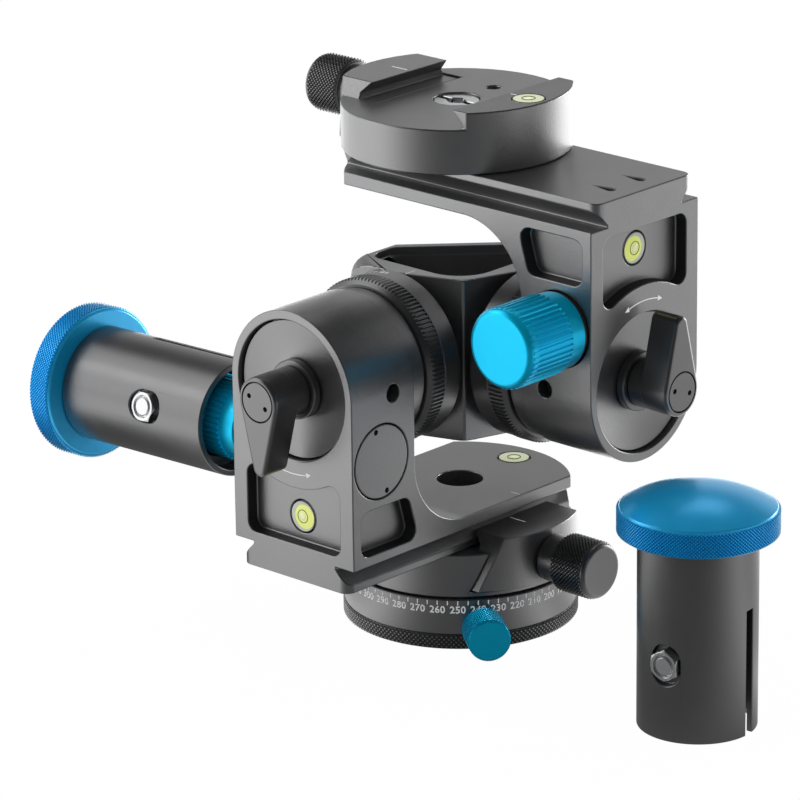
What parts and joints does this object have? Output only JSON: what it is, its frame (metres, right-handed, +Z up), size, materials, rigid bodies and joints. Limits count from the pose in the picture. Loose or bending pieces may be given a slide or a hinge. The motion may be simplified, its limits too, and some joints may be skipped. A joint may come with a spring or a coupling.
{
  "type": "geared tripod head",
  "caption": "Two-axis worm-geared tripod head with a graduated panning base, a corner block, two dovetail clamps and crank handles.",
  "frame": {"origin": "centre of the base's underside, on the pan axis, at the mouth of the tripod thread", "axes": "+Z up along the pan axis; the lower unit's outer face looks along -Y and the upper unit's along +X"},
  "size_m": [0.215, 0.1092, 0.1479],
  "materials": {
    "black_anodised": "bead-blasted black anodised",
    "dark_anodised": "satin black anodised",
    "blue_anodised": "satin blue anodised",
    "blue_cap": "satin blue anodised, knurled rim",
    "steel": "turned stainless steel",
    "bronze": "machined bronze",
    "white_marks": "white filled engraving",
    "vial": "clear yellow-green level vial"
  },
  "bodies": {
    "head": {"pan_clamp_body": "black_anodised", "pan_clamp_front_pin": "steel", "pan_clamp_rear_pin": "steel", "lower_bracket": "black_anodised", "lower_scale_ring": "dark_anodised", "lower_axle_bearing": "bronze", "lower_cover_disc": "black_anodised", "lower_hub_collar": "dark_anodised", "lower_set_screw": "steel", "lower_face_vial": "vial", "lower_plate_vial": "vial", "lower_worm_cap": "black_anodised", "lower_worm_bush": "dark_anodised", "spare_handle_tube": "dark_anodised", "spare_handle_cap": "blue_cap", "spare_handle_lock_nut": "steel", "spare_handle_lock_screw": "steel"},
    "base": {"dial_base": "black_anodised", "tripod_bush": "steel", "pan_lock_pad": "bronze"},
    "pan_lock": {"pan_lock_knob": "blue_anodised"},
    "pan_jaw": {"pan_clamp_jaw": "black_anodised"},
    "pan_clamp_turn": {"pan_clamp_knob": "dark_anodised", "pan_clamp_screw": "steel"},
    "lower_lever": {"lower_lock_lever": "dark_anodised", "lower_lever_cap": "dark_anodised"},
    "lower_drive": {"lower_worm": "steel", "lower_worm_knob": "blue_anodised", "mounted_handle_tube": "dark_anodised", "mounted_handle_cap": "blue_cap", "mounted_handle_lock_nut": "steel", "mounted_handle_lock_screw": "steel"},
    "corner": {"corner_block": "black_anodised", "lower_axle": "steel", "lower_worm_wheel": "bronze", "upper_axle": "steel", "upper_worm_wheel": "bronze"},
    "upper_unit": {"upper_bracket": "black_anodised", "upper_scale_ring": "dark_anodised", "upper_axle_bearing": "bronze", "upper_cover_disc": "black_anodised", "upper_hub_collar": "dark_anodised", "upper_set_screw": "steel", "upper_face_vial": "vial", "upper_worm_cap": "black_anodised", "upper_worm_bush": "dark_anodised", "top_clamp_body": "black_anodised", "top_clamp_front_pin": "steel", "top_clamp_rear_pin": "steel", "top_clamp_vial": "vial", "camera_mount_screw": "steel"},
    "upper_lever": {"upper_lock_lever": "dark_anodised", "upper_lever_cap": "dark_anodised"},
    "upper_drive": {"upper_worm": "steel", "upper_worm_knob": "blue_anodised"},
    "top_jaw": {"top_clamp_jaw": "black_anodised"},
    "top_clamp_turn": {"top_clamp_knob": "dark_anodised", "top_clamp_screw": "steel"}
  },
  "joints": [
    {"name": "pan", "type": "hinge", "parent": "head", "child": "base", "pos_m": [0, 0, 0], "axis": [0, 0, 1], "continuous": true},
    {"name": "pan_lock_turn", "type": "hinge", "parent": "base", "child": "pan_lock", "pos_m": [0, 0, 0.0068], "axis": [0.7902, -0.6129, 0], "range_deg": [0, 360]},
    {"name": "pan_jaw_slide", "type": "slide", "parent": "head", "child": "pan_jaw", "axis": [1, 0, 0], "range_m": [-0.0009, 0.0015]},
    {"name": "pan_clamp_screw_turn", "type": "hinge", "parent": "pan_jaw", "child": "pan_clamp_turn", "pos_m": [0.0331, 0, 0.0228], "axis": [1, 0, 0], "range_deg": [-325, 541]},
    {"name": "lower_lever_turn", "type": "hinge", "parent": "head", "child": "lower_lever", "pos_m": [0, -0.0648, 0.07896], "axis": [0, -1, 0], "range_deg": [-30, 60]},
    {"name": "roll", "type": "hinge", "parent": "head", "child": "corner", "pos_m": [0, 0, 0.07896], "axis": [0, 1, 0], "range_deg": [-25, 25]},
    {"name": "roll_drive", "type": "hinge", "parent": "head", "child": "lower_drive", "pos_m": [0, -0.0538, 0.06151], "axis": [1, 0, 0], "range_deg": [-1000, 1000]},
    {"name": "tilt", "type": "hinge", "parent": "corner", "child": "upper_unit", "pos_m": [0, 0, 0.07896], "axis": [1, 0, 0], "range_deg": [-25, 25]},
    {"name": "tilt_drive", "type": "hinge", "parent": "upper_unit", "child": "upper_drive", "pos_m": [0.0538, 0, 0.09641], "axis": [0, 1, 0], "range_deg": [-1000, 1000]},
    {"name": "upper_lever_turn", "type": "hinge", "parent": "upper_unit", "child": "upper_lever", "pos_m": [0.0648, 0, 0.07896], "axis": [1, 0, 0], "range_deg": [-30, 60]},
    {"name": "top_jaw_slide", "type": "slide", "parent": "upper_unit", "child": "top_jaw", "axis": [-1, 0, 0], "range_m": [-0.0006, 0.003]},
    {"name": "top_clamp_screw_turn", "type": "hinge", "parent": "top_jaw", "child": "top_clamp_turn", "pos_m": [-0.0314, 0, 0.13962], "axis": [-1, 0, 0], "range_deg": [-220, 1085]}
  ],
  "couplings": [
    {"joint": "roll_drive", "follows": "roll", "ratio": 40},
    {"joint": "tilt_drive", "follows": "tilt", "ratio": -40},
    {"joint": "pan_clamp_screw_turn", "follows": "pan_jaw_slide", "rad_per_m": 6283.2},
    {"joint": "top_clamp_screw_turn", "follows": "top_jaw_slide", "rad_per_m": 6283.2}
  ]
}
